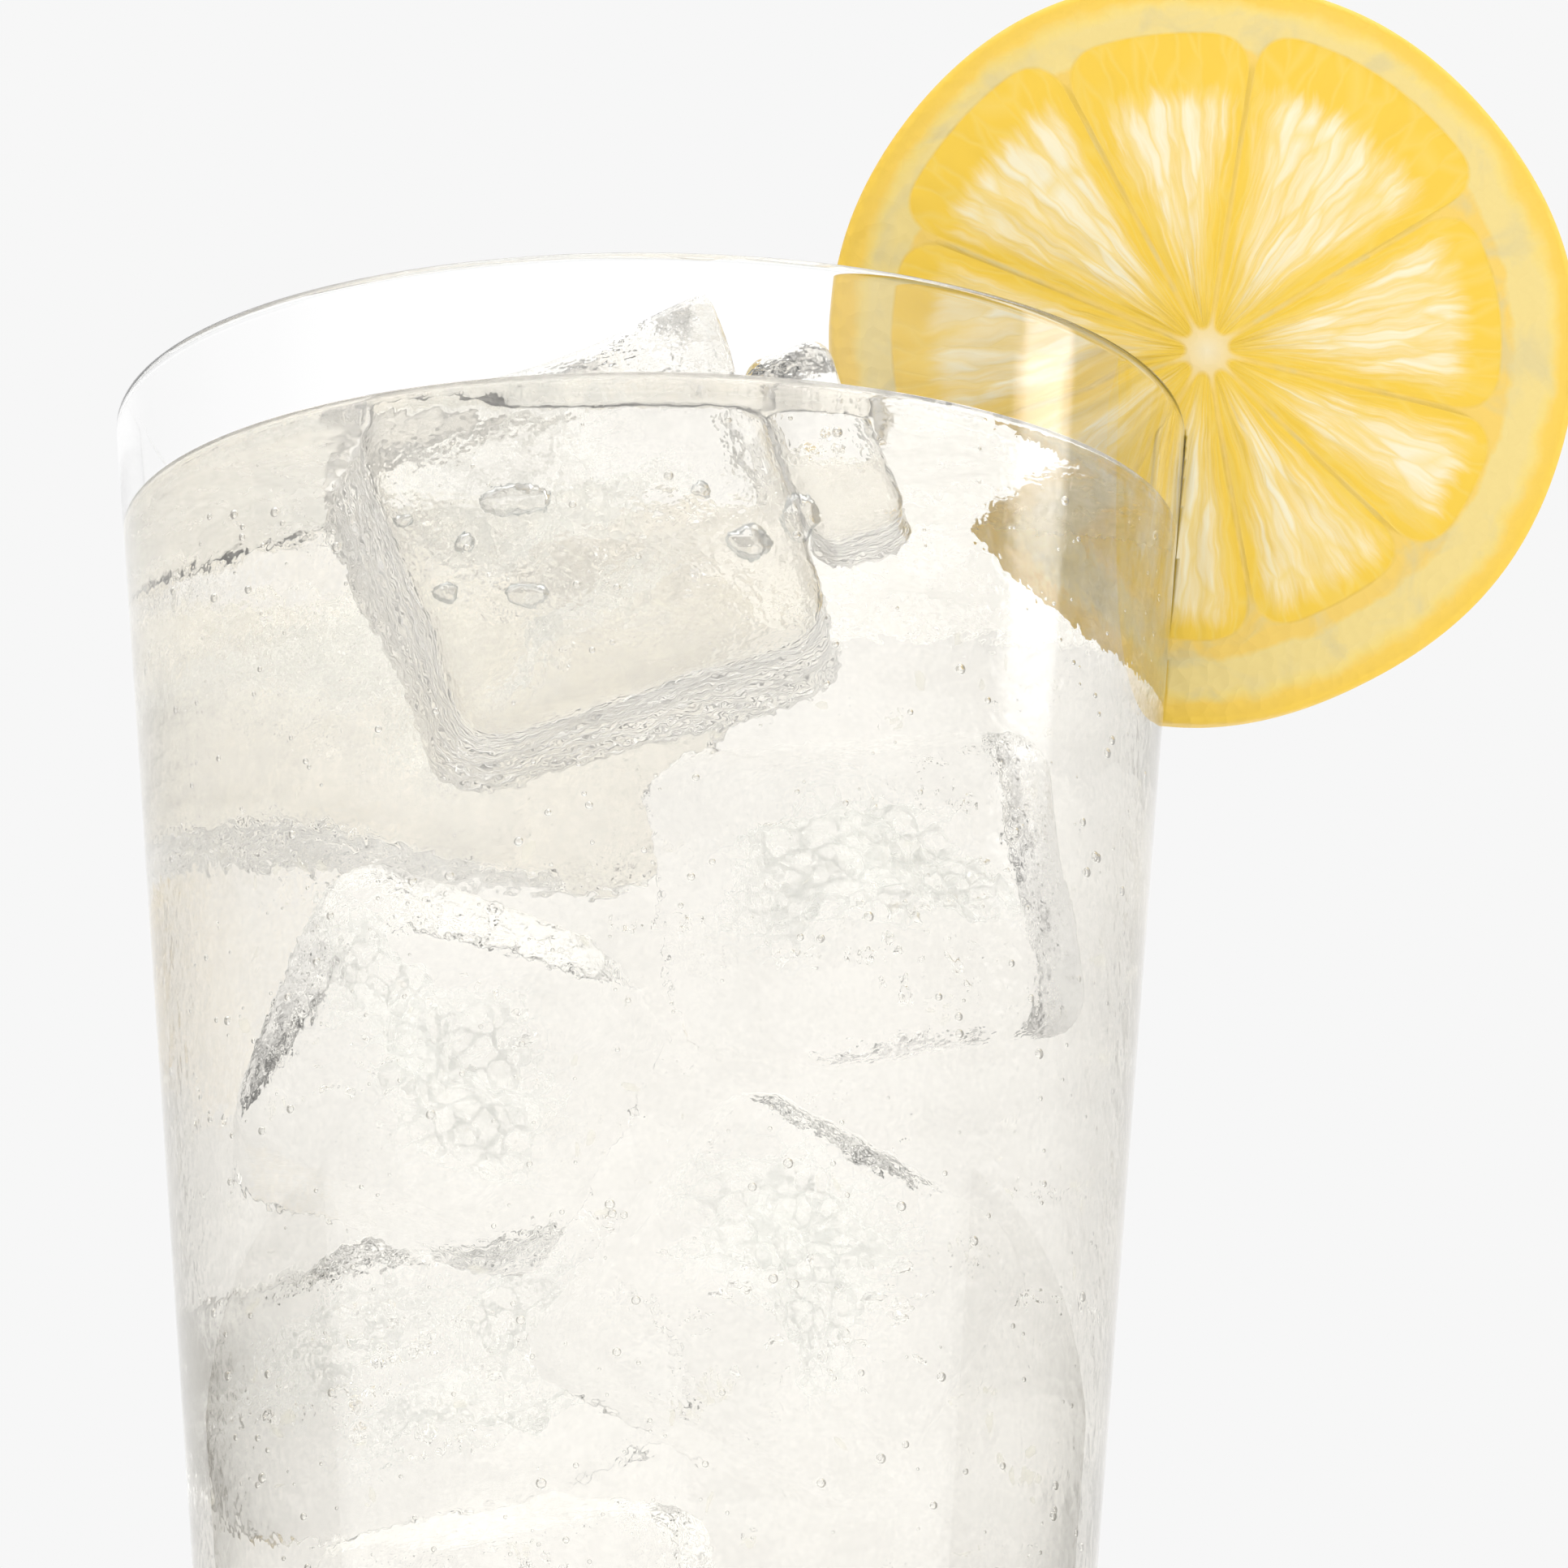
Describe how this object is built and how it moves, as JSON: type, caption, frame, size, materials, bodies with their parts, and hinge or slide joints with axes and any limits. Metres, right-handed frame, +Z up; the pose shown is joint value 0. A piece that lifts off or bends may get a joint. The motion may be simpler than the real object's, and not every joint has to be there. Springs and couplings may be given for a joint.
{
  "type": "glass of lemonade",
  "caption": "Tall tapered tumbler of iced cloudy lemonade, with a slit lemon wheel hanging on its rim.",
  "frame": {"origin": "middle of the flat foot of the glass, on the table", "axes": "+Z up along the axis of the glass, +X towards the side of the rim that carries the lemon wheel, -Y towards the front"},
  "size_m": [0.115, 0.0838, 0.1859],
  "materials": {
    "glass": "clear, polished",
    "lemonade": "cloudy pale liquid, wet surface",
    "lemon": "wet cut fruit with waxy peel",
    "ice": "clear ice with a frosty middle, wet"
  },
  "bodies": {
    "root": {"glass": "glass", "lemonade": "lemonade", "lemon_wheel": "lemon", "ice_1": "ice", "ice_2": "ice", "ice_3": "ice"}
  },
  "joints": []
}
